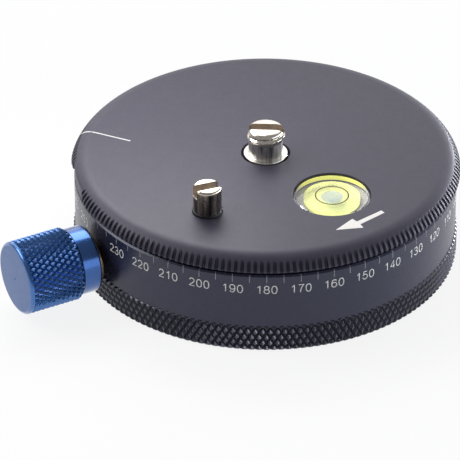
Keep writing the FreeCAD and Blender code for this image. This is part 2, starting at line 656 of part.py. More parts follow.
def make_camera_stud():
    """The 3/8 inch camera screw: thread, neck, shoulder flush with the plate, and coin slot."""
    body = new_body("camera_stud")
    tail = f"({STUD_SEAT} - Sizes.stud_tail)"
    neck_top = f"({PLATE_TOP} + Sizes.stud_neck_height)"
    top = f"({PLATE_TOP} + Sizes.stud_projection)"
    revolve(body, "Stud", [
        ("0", tail),
        ("Sizes.stud_radius", tail),
        ("Sizes.stud_radius", STUD_SEAT),
        ("Sizes.shoulder_radius", STUD_SEAT),
        ("Sizes.shoulder_radius", PLATE_TOP),
        ("Sizes.stud_neck_radius", PLATE_TOP),
        ("Sizes.stud_neck_radius", neck_top),
        ("Sizes.stud_radius", neck_top),
        ("Sizes.stud_radius", f"{top} - Sizes.stud_tip_chamfer"),
        ("Sizes.stud_tip_radius", top),
        ("0", top),
    ])
    cut_coin_slot(body, "CoinSlot", "Sizes.stud_slot_width", f"{top} - Sizes.stud_slot_depth", top)
    return body


def make_anti_twist_pin():
    """The slotted pin that stops the camera turning, screwed into the plate."""
    body = new_body("anti_twist_pin")
    collar_top = f"({PLATE_TOP} + Sizes.pin_collar_height)"
    top = f"({PLATE_TOP} + Sizes.pin_projection)"
    revolve(body, "Pin", [
        ("0", PIN_FOOT),
        ("Sizes.pin_thread_radius", PIN_FOOT),
        ("Sizes.pin_thread_radius", PIN_SEAT),
        ("Sizes.pin_collar_radius", PIN_SEAT),
        ("Sizes.pin_collar_radius", collar_top),
        ("Sizes.pin_radius", collar_top),
        ("Sizes.pin_radius", f"{top} - Sizes.pin_chamfer"),
        ("Sizes.pin_radius - Sizes.pin_chamfer", top),
        ("0", top),
    ])
    cut_coin_slot(body, "CoinSlot", "Sizes.pin_slot_width", f"{top} - Sizes.pin_slot_depth", top)
    body.setExpression("Placement", PIN_PLACEMENT)
    return body


def make_level_body():
    """The clear cup of the spirit level, closed above and open below."""
    body = new_body("level_body")
    revolve(body, "Cup", [
        ("0", LEVEL_CEILING),
        ("Sizes.chamber_radius", LEVEL_CEILING),
        ("Sizes.chamber_radius", LEVEL_FLOOR),
        ("Sizes.level_radius", LEVEL_FLOOR),
        ("Sizes.level_radius", LEVEL_TOP),
        ("0", LEVEL_TOP),
    ])
    body.setExpression("Placement", LEVEL_PLACEMENT)
    return body


def make_level_plug():
    """The disc that closes the level's chamber from below."""
    body = new_body("level_plug")
    edge = f"Sizes.chamber_radius - {PRESS}"
    revolve(body, "Disc", [("0", LEVEL_FLOOR), (edge, LEVEL_FLOOR), (edge, PLUG_TOP), ("0", PLUG_TOP)])
    body.setExpression("Placement", LEVEL_PLACEMENT)
    return body


def make_level_bubble():
    """The air bubble: a flat-topped cap of a sphere under the level's clear top."""
    bubble = doc.addObject("Part::Sphere", "level_bubble")
    bubble.setExpression("Radius", BUBBLE_SPHERE)
    bubble.Angle1 = -90
    bubble.setExpression("Angle2", f"-asin(({BUBBLE_SPHERE} - Sizes.bubble_depth) / {BUBBLE_SPHERE})")
    bubble.setExpression("Placement.Base.x", "Sizes.level_x")
    bubble.setExpression("Placement.Base.y", "Sizes.level_y")
    bubble.setExpression("Placement.Base.z", f"{LEVEL_CEILING} - Sizes.bubble_depth + {BUBBLE_SPHERE}")
    return bubble


def make_level_liquid(bubble):
    """The liquid that fills the chamber around the bubble."""
    filling = doc.addObject("Part::Cylinder", "ChamberFilling")
    filling.setExpression("Radius", f"Sizes.chamber_radius - {PRESS}")
    filling.setExpression("Height", f"{LEVEL_CEILING} - {PLUG_TOP}")
    filling.setExpression("Placement.Base.x", "Sizes.level_x")
    filling.setExpression("Placement.Base.y", "Sizes.level_y")
    filling.setExpression("Placement.Base.z", PLUG_TOP)
    liquid = doc.addObject("Part::Cut", "level_liquid")
    liquid.Base = filling
    liquid.Tool = bubble
    return liquid


def make_brake_shoe():
    """The round shoe that presses on the journal, hollowed to its curve and socketed behind."""
    body = new_body("brake_shoe")
    sketch = new_sketch(body, "Shoe_outline", "YZ_Plane", along="Sizes.journal_radius")
    draw_circle(sketch, "0", "Sizes.lock_height", "Sizes.shoe_radius")
    shoe = body.newObject("PartDesign::Pad", "Shoe")
    shoe.Profile = sketch
    shoe.setExpression("Length", f"{SHOE_BACK} - Sizes.journal_radius")
    add_checked(body, shoe, adds=True)
    bore_down(
        body, "Hollow", "0", "0", SHOE_FACE,
        "(Sizes.lock_height + Sizes.shoe_radius)", "(Sizes.lock_height - Sizes.shoe_radius)",
    )
    bore_inward(
        body, "Socket", "(Sizes.tip_radius + Sizes.running_clearance)",
        SHOE_BACK, f"({SHOE_BACK} - Sizes.socket_depth)",
    )
    body.setExpression("Placement", LOCK_SIDE_PLACEMENT)
    return body


def make_lock_screw():
    """The lock screw: swivelling tip, thread, shoulder and the plain end inside the knob."""
    body = new_body("lock_screw")
    tip_end = f"({SHOE_BACK} - Sizes.socket_depth + Sizes.face_gap)"
    thread_end = f"({SHOE_BACK} + Sizes.face_gap)"
    shoulder = f"({KNOB_BACK} - Sizes.screw_shoulder)"
    revolve(body, "Screw", [
        ("0", tip_end),
        ("Sizes.tip_radius", tip_end),
        ("Sizes.tip_radius", thread_end),
        ("Sizes.lock_screw_radius", thread_end),
        ("Sizes.lock_screw_radius", shoulder),
        ("Sizes.screw_shoulder_radius", shoulder),
        ("Sizes.screw_shoulder_radius", KNOB_BACK),
        ("Sizes.screw_shank_radius", KNOB_BACK),
        ("Sizes.screw_shank_radius", SHANK_END),
        ("0", SHANK_END),
    ])
    body.setExpression("Placement", LOCK_AXIS_PLACEMENT)
    return body


def make_knob():
    """The knob: smooth collar, groove, knurled grip and a rounded face with its centre mark."""
    body = new_body("knob")
    bore = f"(Sizes.screw_shank_radius + {PRESS})"
    revolve(body, "Knob", [
        (bore, KNOB_BACK),
        ("Sizes.collar_radius - Sizes.collar_chamfer", KNOB_BACK),
        ("Sizes.collar_radius", f"{KNOB_BACK} + Sizes.collar_chamfer"),
        ("Sizes.collar_radius", GROOVE_INNER),
        ("Sizes.groove_radius", GROOVE_INNER),
        ("Sizes.groove_radius", GROOVE_OUTER),
        ("Sizes.knob_radius - Sizes.knob_back_chamfer", GROOVE_OUTER),
        ("Sizes.knob_radius", f"{GROOVE_OUTER} + Sizes.knob_back_chamfer"),
        ("Sizes.knob_radius", KNOB_FACE),
        ("Sizes.dimple_radius", KNOB_FACE),
        ("0", f"{KNOB_FACE} - Sizes.dimple_depth"),
        ("0", SHANK_END),
        (bore, SHANK_END),
    ])
    round_edge(body, "Edge", "Sizes.knob_radius", KNOB_FACE, "Sizes.knob_edge")
    body.setExpression("Placement", LOCK_AXIS_PLACEMENT)
    return body


def make_nodes():
    """Every sub-part: the fixed base, what turns with the plate, and the lock."""
    bubble = make_level_bubble()
    return [
        make_base_plate(),
        make_base_screws(),
        make_tripod_bush(),
        make_housing(),
        make_journal_sleeve(),
        make_thrust_ring(),
        make_lock_bush(),
        make_top_plate(),
        make_hub(),
        make_plate_screws(),
        make_retaining_nut(),
        make_disc_spring(),
        make_camera_stud(),
        make_anti_twist_pin(),
        make_level_body(),
        make_level_plug(),
        bubble,
        make_level_liquid(bubble),
        make_brake_shoe(),
        make_lock_screw(),
        make_knob(),
    ]


def check_and_write(nodes):
    """Checks every object and every sub-part, then writes one STEP file for each sub-part."""
    doc.recompute()
    for item in doc.Objects:
        if "Invalid" in item.State or "Error" in item.State:
            raise ValueError(f"{item.Label} failed: {item.State}")
    for node in nodes:
        if node.Shape.isNull() or not node.Shape.isValid():
            raise ValueError(f"{node.Label} has no valid shape")
    os.makedirs("parts", exist_ok=True)
    for node in nodes:
        node.Shape.exportStep(os.path.join("parts", f"{node.Label}.step"))
        print(f"{node.Label}: {len(node.Shape.Solids)} solid(s), {node.Shape.Volume:.1f} mm3")


check_and_write(make_nodes())
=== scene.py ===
"""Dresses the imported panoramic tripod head: knurled foot and knob, fluted rim, real threads, a degree
scale, an index line, an arrow and a filled spirit level, each with a procedural material.

Lengths are in millimetres here, and turn into metres where a mesh is made. Only the studio's floor
and lamps are given in metres."""
import math

import bpy
import numpy as np
from mathutils import Matrix, Vector


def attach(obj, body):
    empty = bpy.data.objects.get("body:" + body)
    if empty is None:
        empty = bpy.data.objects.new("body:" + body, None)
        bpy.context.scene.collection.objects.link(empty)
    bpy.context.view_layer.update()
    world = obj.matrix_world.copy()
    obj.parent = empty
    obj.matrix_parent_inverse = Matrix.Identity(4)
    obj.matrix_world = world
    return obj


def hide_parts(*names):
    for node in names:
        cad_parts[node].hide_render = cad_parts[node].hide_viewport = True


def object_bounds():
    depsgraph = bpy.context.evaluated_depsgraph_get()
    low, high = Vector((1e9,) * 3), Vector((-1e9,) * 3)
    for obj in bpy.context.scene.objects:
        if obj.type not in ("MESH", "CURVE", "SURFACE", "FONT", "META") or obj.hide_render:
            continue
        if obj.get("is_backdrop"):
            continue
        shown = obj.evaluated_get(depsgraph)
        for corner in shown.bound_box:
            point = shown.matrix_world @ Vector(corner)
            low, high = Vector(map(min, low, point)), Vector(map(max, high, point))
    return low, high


MM = 0.001
TURN = 2 * math.pi

# Sizes, places and directions that the CAD part has too. Directions are in degrees from +X.
FOOT_RADIUS = 45.4
FOOT_HEIGHT = 6.4
FOOT_CHAMFER = 0.3
FLOOR = 3.0
FOOT_BORE = 41.81
BUSH_HOLE = 7.01
SCALE_RADIUS = 45.0
SCALE_TOP = 20.3
SCALE_CHAMFER = 0.4
PLATE_RADIUS = 45.8
PLATE_TOP = 25.1
PLATE_UNDERSIDE = 19.6
RIM_UNDERSIDE = SCALE_TOP + 1.5
SPIGOT_RADIUS = 39.0
STUD_HOLE = 4.77
STUD_TOP = 32.1
STUD_SEAT = 23.4
SHOULDER = 5.2
COUNTERBORE = SHOULDER + 0.55
THREAD_MAJOR = 4.76
PIN_PLACE = (-13.3, -25.3)
PIN_TURN = 21
PIN_SEAT = 24.9
PIN_FOOT = 21.1
LEVEL_PLACE = (15.4, -18.0)
LEVEL_TOP = 24.8
LEVEL_CEILING = 23.9
LEVEL_FLOOR = 20.9
LOCK_AZIMUTH = 209.0
LOCK_HEIGHT = 10.35
SCREW_CIRCLE = SCALE_RADIUS - 11.0
SCREW_AZIMUTH = LOCK_AZIMUTH + 45.0

# Sizes of the dressed part only: the pitch of its 3/8-16 threads, the arc of the plate's rounding, the
# skirt that hangs under the plate's rim, and on the knob the front of the collar, counted along the
# lock's axis, and the radius of the rounded edge.
THREAD_PITCH = 25.4 / 16
PLATE_ROUND = 4.816
ROUND_START = 41.3
RIM_BOTTOM = RIM_UNDERSIDE - 0.3
SKIRT_RADIUS = 44.9
SKIRT_BOTTOM = 20.42
KNOB_COLLAR_FRONT = 51.6
KNOB_EDGE = 1.0

# How noise is squeezed and drawn out: into the rings that a lathe leaves, and into upright streaks of
# painted reflection.
FINE_RINGS = (1, 1, 8)
RINGS = (1, 1, 6)
REFLECTION_STREAKS = (1, 1, 0.08)

# Faces that meet under this angle, in degrees, are shaded smooth unless a piece asks for another.
SMOOTH_ANGLE = 28.0


# ---------------------------------------------------------------- materials

def new_look(name, color, **sockets):
    """A principled material whose shader has that colour and those socket values."""
    look = bpy.data.materials.new(name)
    look.use_nodes = True
    shader = look.node_tree.nodes["Principled BSDF"]
    shader.inputs["Base Color"].default_value = (*color, 1)
    for socket, value in sockets.items():
        shader.inputs[socket.replace("_", " ")].default_value = value
    return look


def add_node(look, kind, **inputs):
    """A node of the material with those inputs set. Underscores stand for the blanks in their names."""
    node = look.node_tree.nodes.new(kind)
    for socket, value in inputs.items():
        node.inputs[socket.replace("_", " ")].default_value = value
    return node


def feed(look, output, socket):
    """Links an output to the principled shader's socket of that name."""
    look.node_tree.links.new(output, look.node_tree.nodes["Principled BSDF"].inputs[socket])


def add_noise(look, scale, detail=3.0, stretch=(1, 1, 1)):
    """Noise over the object's own coordinates, with scale in cells per millimetre."""
    links = look.node_tree.links
    place = add_node(look, "ShaderNodeTexCoord")
    mapping = add_node(look, "ShaderNodeMapping", Scale=stretch)
    noise = add_node(look, "ShaderNodeTexNoise", Scale=scale / MM, Detail=detail)
    links.new(place.outputs["Object"], mapping.inputs["Vector"])
    links.new(mapping.outputs["Vector"], noise.inputs["Vector"])
    return noise.outputs["Fac"]


def vary_roughness(look, low, high, scale):
    """Patches of finer and coarser gloss."""
    spread = add_node(look, "ShaderNodeMapRange", From_Min=0.3, From_Max=0.7, To_Min=low, To_Max=high)
    look.node_tree.links.new(add_noise(look, scale), spread.inputs["Value"])
    feed(look, spread.outputs["Result"], "Roughness")


def add_ramp(look, first, second, start=0.0, stop=1.0):
    """A ramp from the first colour to the second, between those two values of what feeds it."""
    ramp = add_node(look, "ShaderNodeValToRGB")
    ends = ramp.color_ramp.elements
    ends[0].position, ends[1].position = start, stop
    ends[0].color, ends[1].color = (*first, 1), (*second, 1)
    return ramp


def vary_color(look, first, second, scale, stretch=(1, 1, 1)):
    """Drift between two colours."""
    ramp = add_ramp(look, first, second, 0.35, 0.65)
    look.node_tree.links.new(add_noise(look, scale, 4.0, stretch), ramp.inputs["Fac"])
    feed(look, ramp.outputs["Color"], "Base Color")


def add_grain(look, scale, height, strength=1.0, stretch=(1, 1, 1)):
    """Fine surface relief of that height in millimetres."""
    bump = add_node(look, "ShaderNodeBump", Strength=strength, Distance=height * MM)
    look.node_tree.links.new(add_noise(look, scale, 4.0, stretch), bump.inputs["Height"])
    feed(look, bump.outputs["Normal"], "Normal")


def make_anodised(name, first, second, low, high, **sockets):
    """Bead-blasted and dyed aluminium oxide: a fine, even satin."""
    look = new_look(name, first, **sockets)
    vary_color(look, first, second, 0.35)
    vary_roughness(look, low, high, 1.2)
    add_grain(look, 9.0, 0.012, 0.35)
    return look


def make_metal(name, first, second, low, high, marks=(1, 1, 1), **sockets):
    """Bare or plated metal with faint machining marks, its noise stretched by marks."""
    look = new_look(name, first, Metallic=1.0, **sockets)
    vary_color(look, first, second, 0.8)
    vary_roughness(look, low, high, 1.5)
    add_grain(look, 3.0, 0.006, 0.3, marks)
    return look


def make_streaked(name, first, second, low, high):
    """Bare metal with dark and bright streaks up its side, which are painted reflections."""
    look = new_look(name, first, Metallic=1.0)
    vary_color(look, first, second, 0.9, REFLECTION_STREAKS)
    vary_roughness(look, low, high, 1.5)
    add_grain(look, 3.0, 0.006, 0.3, FINE_RINGS)
    return look


def make_plastic(name, first, second, low, high, **sockets):
    """Moulded or turned plastic with a slight orange-peel."""
    look = new_look(name, first, **sockets)
    vary_color(look, first, second, 0.5)
    vary_roughness(look, low, high, 1.0)
    add_grain(look, 2.0, 0.01, 0.3)
    return look


def make_faded(name, front, back, start, stop):
    """Plastic with a painted reflection and a faint painted glow: its colour runs from one to the other
    along Y, between two places, and it glows though it is no lamp.
    """
    look = new_look(name, front, Emission_Strength=0.35)
    vary_roughness(look, 0.35, 0.5, 1.0)
    add_grain(look, 2.0, 0.01, 0.3)
    links = look.node_tree.links
    spot = add_node(look, "ShaderNodeTexCoord")
    axes = add_node(look, "ShaderNodeSeparateXYZ")
    spread = add_node(look, "ShaderNodeMapRange", From_Min=start * MM, From_Max=stop * MM)
    ramp = add_ramp(look, front, back)
    links.new(spot.outputs["Object"], axes.inputs["Vector"])
    links.new(axes.outputs["Y"], spread.inputs["Value"])
    links.new(spread.outputs["Result"], ramp.inputs["Fac"])
    feed(look, ramp.outputs["Color"], "Base Color")
    feed(look, ramp.outputs["Color"], "Emission Color")
    return look


def make_paint(name, first, second):
    """Filled engraving: a chalky, slightly uneven paint."""
    look = new_look(name, first, Roughness=0.6)
    vary_color(look, first, second, 2.5)
    vary_roughness(look, 0.5, 0.7, 3.0)
    add_grain(look, 12.0, 0.004, 0.3)
    return look


def show_instead(look, share, other):
    """Shows another shader in the principled one's stead, by that share."""
    nodes = look.node_tree.nodes
    links = look.node_tree.links
    mix = add_node(look, "ShaderNodeMixShader")
    links.new(share, mix.inputs[0])
    links.new(nodes["Principled BSDF"].outputs[0], mix.inputs[1])
    links.new(other.outputs[0], mix.inputs[2])
    links.new(mix.outputs[0], nodes["Material Output"].inputs["Surface"])


def make_clear(name, color, ior, transmission, **sockets):
    """Clear material with faint ripples in its surface. Lamps shine straight through it."""
    look = new_look(name, color, IOR=ior, Roughness=0.0, Transmission_Weight=transmission, **sockets)
    add_grain(look, 0.5, 0.004, 0.15)
    path = add_node(look, "ShaderNodeLightPath")
    through = add_node(look, "ShaderNodeBsdfTransparent", Color=(*color, 1))
    show_instead(look, path.outputs["Is Shadow Ray"], through)
    return look


def make_looks():
    """Every material of the part by a short name."""
    return {
        "plate": make_anodised(
            "anodised_plate", (0.040, 0.037, 0.056), (0.044, 0.041, 0.062), 0.42, 0.50,
            IOR=1.45, Specular_Tint=(0.90, 0.88, 1.0, 1),
        ),
        "band": make_anodised(
            "anodised_band", (0.017, 0.018, 0.038), (0.020, 0.021, 0.044), 0.26, 0.32,
            IOR=1.52, Specular_Tint=(0.82, 0.85, 1.0, 1),
        ),
        "knurl": make_anodised(
            "anodised_knurl", (0.010, 0.010, 0.020), (0.013, 0.013, 0.025), 0.24, 0.30,
            IOR=1.75, Specular_Tint=(0.84, 0.86, 1.0, 1),
        ),
        "blue": make_anodised(
            "anodised_blue", (0.030, 0.125, 0.380), (0.036, 0.140, 0.410), 0.24, 0.32,
            Metallic=0.9, Coat_Weight=1.0, Coat_Roughness=0.12,
        ),
        "blue_collar": make_anodised(
            "anodised_blue_collar", (0.024, 0.096, 0.320), (0.028, 0.106, 0.340), 0.18, 0.24,
            Metallic=0.9, Coat_Weight=0.7, Coat_Roughness=0.10,
        ),
        "blue_face": make_anodised(
            "anodised_blue_face", (0.070, 0.140, 0.330), (0.080, 0.150, 0.350), 0.45, 0.55,
            Metallic=0.6, Coat_Weight=0.5, Coat_Roughness=0.4,
        ),
        "nickel": make_metal(
            "bright_nickel", (0.74, 0.68, 0.60), (0.80, 0.74, 0.66), 0.10, 0.20, FINE_RINGS,
        ),
        "polished": make_metal("polished_shoulder", (0.82, 0.78, 0.72), (0.86, 0.82, 0.76), 0.03, 0.06),
        # The neck's and the pin side's dark and bright streaks are painted reflections.
        "neck": make_streaked("neck_painted_reflections", (0.18, 0.17, 0.16), (0.98, 0.95, 0.90), 0.30, 0.45),
        "pin": make_metal("dark_nickel", (0.52, 0.45, 0.38), (0.60, 0.52, 0.45), 0.14, 0.24, FINE_RINGS),
        "pin_side": make_streaked("pin_side_painted_reflections", (0.07, 0.06, 0.05), (0.52, 0.44, 0.38), 0.20, 0.34),
        "slot": make_metal("sawn_slot", (0.46, 0.41, 0.35), (0.52, 0.46, 0.40), 0.30, 0.42, RINGS),
        "gasket": make_plastic("level_gasket", (0.58, 0.56, 0.56), (0.62, 0.60, 0.60), 0.5, 0.6),
        # Zinc darkened into painted shade, for the knob's shadow over the lock screw's shoulder.
        "zinc_painted_shade": make_metal("dark_zinc_painted_shade", (0.13, 0.10, 0.07), (0.17, 0.13, 0.09), 0.22, 0.32, RINGS),
        "brass": make_metal("turned_brass", (0.70, 0.52, 0.24), (0.76, 0.58, 0.29), 0.22, 0.34, RINGS),
        "steel": make_metal("turned_steel", (0.46, 0.46, 0.47), (0.54, 0.54, 0.54), 0.24, 0.38, RINGS),
        "aluminium": make_metal(
            "turned_aluminium", (0.68, 0.69, 0.70), (0.75, 0.76, 0.77), 0.26, 0.40, RINGS,
        ),
        # Black oxide on the screws; on the pin's collar the same black is painted shade.
        "black_steel": make_metal(
            "black_oxide_and_painted_shade", (0.035, 0.035, 0.038), (0.050, 0.050, 0.054), 0.34, 0.48,
        ),
        "slide": make_plastic("slide_plastic", (0.72, 0.70, 0.64), (0.78, 0.76, 0.70), 0.35, 0.5),
        # A painted reflection with a faint painted glow: grey at the front and yellow at the back, where
        # the cup's wall mirrors the liquid.
        "reflection_sleeve": make_faded("level_reflection_sleeve", (0.38, 0.37, 0.36), (0.97, 0.96, 0.20), -14.8, -12.4),
        "plug": make_plastic("level_floor", (0.93, 0.92, 0.28), (0.95, 0.94, 0.34), 0.35, 0.5),
        "acrylic": make_clear("clear_acrylic", (0.99, 0.99, 0.98), 1.49, 1.0),
        "liquid": make_clear("level_liquid", (0.95, 0.98, 0.92), 1.12, 1.0),
        # The bubble's half-clear grey-blue veil is a painted reflection.
        "air": make_clear("level_bubble_painted_reflection", (0.38, 0.46, 0.57), 1.0, 0.0, Alpha=0.35),
        "ring": make_paint("level_ring", (0.060, 0.042, 0.028), (0.075, 0.052, 0.034)),
        "figure": make_paint("figure_paint", (0.66, 0.66, 0.64), (0.76, 0.76, 0.74)),
        "tick": make_paint("tick_paint", (0.26, 0.26, 0.28), (0.32, 0.32, 0.34)),
        "line": make_paint("line_paint", (0.58, 0.58, 0.58), (0.66, 0.66, 0.66)),
        "arrow": make_paint("arrow_paint", (0.74, 0.71, 0.69), (0.80, 0.77, 0.75)),
    }


# ---------------------------------------------------------------- meshes

def new_piece(name, corners, faces, looks, smooth_angle=SMOOTH_ANGLE):
    """An object of that mesh, given in millimetres, turned inside out if its volume is negative."""
    mesh = bpy.data.meshes.new(name)
    mesh.from_pydata(np.asarray(corners, float) * MM, [], faces)
    piece = bpy.data.objects.new(name, mesh)
    bpy.context.scene.collection.objects.link(piece)
    for look in looks:
        mesh.materials.append(look)
    if volume_of(mesh) < 0:
        mesh.flip_normals()
    shade(mesh, smooth_angle)
    return piece


def volume_of(mesh):
    """Signed volume inside a closed mesh."""
    mesh.calc_loop_triangles()
    spots = np.zeros(len(mesh.vertices) * 3)
    mesh.vertices.foreach_get("co", spots)
    spots = spots.reshape(-1, 3)
    ids = np.zeros(len(mesh.loop_triangles) * 3, int)
    mesh.loop_triangles.foreach_get("vertices", ids)
    a, b, c = (spots[ids.reshape(-1, 3)[:, k]] for k in range(3))
    return float(np.einsum("ij,ij->i", a, np.cross(b, c)).sum()) / 6


def shade(mesh, angle):
    """Smooth shading between faces that meet under that angle in degrees."""
    mesh.shade_smooth()
    mesh.set_sharp_from_angle(angle=math.radians(angle))


def carve(piece, cutters, smooth_angle=SMOOTH_ANGLE):
    """Cuts the cutters out of the piece for good, and removes them."""
    for cutter in cutters:
        cut = piece.modifiers.new("cut", "BOOLEAN")
        cut.operation = "DIFFERENCE"
        cut.solver = "EXACT"
        cut.material_mode = "TRANSFER"
        cut.object = cutter
    bpy.context.view_layer.update()
    shown = piece.evaluated_get(bpy.context.evaluated_depsgraph_get())
    mesh = bpy.data.meshes.new_from_object(shown)
    piece.modifiers.clear()
    old = piece.data
    piece.data = mesh
    bpy.data.meshes.remove(old)
    mesh.name = piece.name
    for cutter in cutters:
        bpy.data.objects.remove(cutter)
    shade(mesh, smooth_angle)


def turn(name, profile, columns, looks=(), shape=None, creased=False, smooth_angle=SMOOTH_ANGLE):
    """A solid turned about Z from a closed run of (radius, height) corners. Radius 0 is the axis.
    shape(radius, angle, height) gives the radius that a knurl, flute or thread leaves there, and
    creased lays the edges of the faces along the shape's creases."""
    angles = np.arange(columns) * TURN / columns
    rings = []
    corners = []
    for radius, height in profile:
        start = len(corners)
        if radius == 0:
            corners.append((0.0, 0.0, height))
            rings.append([start])
            continue
        reach = np.full(columns, float(radius))
        if shape:
            reach = shape(reach, angles, height)
        corners += zip(reach * np.cos(angles), reach * np.sin(angles), np.full(columns, float(height)))
        rings.append(list(range(start, start + columns)))
    spots = np.array(corners, float)
    faces = []
    for below, above in zip(rings, rings[1:] + rings[:1]):
        faces += join_rings(below, above, spots, shape if creased else None)
    return new_piece(name, spots, faces, looks, smooth_angle)


def join_rings(below, above, spots, shape):
    """Faces between two rings, either of which may be a point on the axis. A flat end is a single face
    that winds against its neighbours: opaque looks don't show it, and the level's look is set with it."""
    if len(below) == 1 and len(above) == 1:
        return []
    if len(below) == 1 or len(above) == 1:
        ring, tip = (above, below[0]) if len(below) == 1 else (below, above[0])
        if abs(spots[ring[0], 2] - spots[tip, 2]) < 1e-9:
            return [tuple(ring if len(below) == 1 else ring[::-1])]
        fan = [(ring[j], ring[(j + 1) % len(ring)], tip) for j in range(len(ring))]
        return fan if len(above) == 1 else [face[::-1] for face in fan]
    count = len(below)
    if shape is None:
        return [(below[j], below[(j + 1) % count], above[(j + 1) % count], above[j]) for j in range(count)]
    faces = []
    a = np.array(below)
    b = np.roll(a, -1)
    d = np.array(above)
    c = np.roll(d, -1)
    reach = np.hypot(spots[:, 0], spots[:, 1])
    heights = (spots[a[0], 2] + spots[d[0], 2]) / 2
    middle = (np.arange(count) + 0.5) * TURN / count
    crest = np.maximum.reduce([reach[a], reach[b], reach[c], reach[d]])
    true_reach = shape(crest, middle, heights)
    first = abs((reach[a] + reach[c]) / 2 - true_reach)
    second = abs((reach[b] + reach[d]) / 2 - true_reach)
    for j in range(count):
        if first[j] <= second[j]:
            faces += [(a[j], b[j], c[j]), (a[j], c[j], d[j])]
        else:
            faces += [(a[j], b[j], d[j]), (b[j], c[j], d[j])]
    return faces


def zigzag(phase):
    """A triangle wave: 0 at whole phases and 1 half way between them."""
    return 1 - abs(2 * (phase - np.floor(phase)) - 1)


def knurl(crest, depth, count, rise, middle, flat):
    """A shape for turn: diamonds left by two crossing sets of V grooves. rise is a diamond's height,
    and flat the share of the way from its middle to a groove that stays uncut."""
    def shape(radius, angle, height):
        around = count * angle / TURN
        along = (height - middle) / rise
        deeper = np.maximum(zigzag(around + along), zigzag(around - along))
        cut = np.clip((deeper - flat) / (1 - flat), 0, 1)
        return np.minimum(radius, crest - depth * cut)
    return shape


def thread_cut(phase):
    """Depth of a V thread as a share of the whole, with a narrow flat at its crest and its root."""
    return np.clip(1.6 * zigzag(phase) - 0.25, 0, 1)


def outer_thread(major, root, start):
    """A shape for turn: a right-hand thread on the outside, begun at that share of a turn."""
    def shape(radius, angle, height):
        cut = thread_cut(height / THREAD_PITCH - angle / TURN - start)
        return np.minimum(radius, major - (major - root) * cut)
    return shape


def levels(low, high, step, offset=0.0):
    """Heights from low to high in steps counted from the offset, keeping both ends."""
    first = math.ceil((low - offset) / step + 1e-6)
    last = math.floor((high - offset) / step - 1e-6)
    return [low] + [offset + k * step for k in range(first, last + 1)] + [high]


def lathe_at(piece, x, y, turned=0.0):
    """Moves a mesh made about Z to (x, y), turned by degrees."""
    turning = Matrix.Rotation(math.radians(turned), 4, "Z")
    piece.data.transform(Matrix.Translation((x * MM, y * MM, 0)) @ turning)
    return piece


def new_box(name, size, centre, looks):
    """A cutter block, whose looks go to the faces that it leaves."""
    signs = [(x, y, z) for z in (-1, 1) for y in (-1, 1) for x in (-1, 1)]
    corners = [[centre[k] + sign[k] * size[k] / 2 for k in range(3)] for sign in signs]
    faces = [(0, 2, 3, 1), (4, 5, 7, 6), (0, 1, 5, 4), (2, 6, 7, 3), (0, 4, 6, 2), (1, 3, 7, 5)]
    return new_piece(name, corners, faces, looks)


def place(piece, body, slot, *nodes):
    """Puts a finished piece on its body, in the stead of those CAD nodes. Its slot is not used."""
    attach(piece, body)
    if nodes:
        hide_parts(*nodes)


# ---------------------------------------------------------------- base

def make_foot(looks):
    """The base plate with its diamond-knurled rim and countersunk holes."""
    count, rise, depth, flat, fineness = 165, 2.994, 0.6, 0.3, 8
    head, hole, sink_top, cone_top, holes_end = 3.81, 1.51, 0.2, 2.4, 40
    middle = FOOT_HEIGHT / 2
    body = knurl(FOOT_RADIUS, depth, count, rise, middle, flat)
    rows = levels(FOOT_CHAMFER, FOOT_HEIGHT - FOOT_CHAMFER, rise / fineness, middle)
    rim = [(FOOT_RADIUS, height) for height in rows]
    edge = FOOT_RADIUS - FOOT_CHAMFER
    # The corners at holes_end keep the cuts of the screw holes out of the faces of the rim.
    profile = [(BUSH_HOLE, 0), (holes_end, 0), (edge, 0), *rim, (edge, FOOT_HEIGHT)]
    profile += [(FOOT_BORE, FOOT_HEIGHT), (FOOT_BORE, FLOOR), (BUSH_HOLE, FLOOR)]
    finish = [looks["knurl"]]
    foot = turn("foot_ring", profile, count * fineness, finish, body, creased=True, smooth_angle=18)
    above = FLOOR + 1
    screw_hole = [(0, -1), (head, -1), (head, sink_top), (hole, cone_top), (hole, above), (0, above)]
    cutters = []
    for k in range(4):
        angle = math.radians(SCREW_AZIMUTH + 90 * k)
        sink = turn(f"sink_{k}", screw_hole, 64)
        cutters.append(lathe_at(sink, SCREW_CIRCLE * math.cos(angle), SCREW_CIRCLE * math.sin(angle)))
    carve(foot, cutters, smooth_angle=18)
    place(foot, "base", "black_anodised", "base_plate")


def make_socket(looks):
    """The tripod's threaded socket, with its thread cut."""
    minor, depth, mouth = 3.97, 0.72, 4.75
    low, high, ceiling = 0.45, 8.0, 8.4
    outside, flange, flange_top, top = 7, 10.4, 4.8, 9.2

    def thread(radius, angle, height):
        on_wall = (abs(radius - minor) < 0.01) & (height < high)
        cut = thread_cut(height / THREAD_PITCH - angle / TURN)
        return np.where(on_wall, radius + depth * cut, radius)

    profile = [(mouth, 0), (outside, 0), (outside, FLOOR), (flange, FLOOR), (flange, flange_top)]
    profile += [(outside, flange_top), (outside, top), (0, top), (0, ceiling), (minor, ceiling)]
    profile += [(minor, height) for height in levels(low, high, THREAD_PITCH / 12)][::-1]
    socket = turn("tripod_socket", profile, 96, [looks["steel"]], thread, smooth_angle=30)
    place(socket, "base", "steel", "tripod_bush")


# ---------------------------------------------------------------- scale

# How far a painted stroke stands out of its surface and reaches into it, and the least cosine that
# widens a stroke's corner.
STROKE_TOP = 0.015
STROKE_BOTTOM = -0.05
SHARPEST_CORNER = 0.6

# The cell that a digit is drawn in, and the degrees between the points of its round strokes.
CELL_WIDTH = 0.53
CELL_HEIGHT = 0.875
BOW_STEP = 18

# The figure that the lock leaves no room for.
HIDDEN_FIGURE = 240


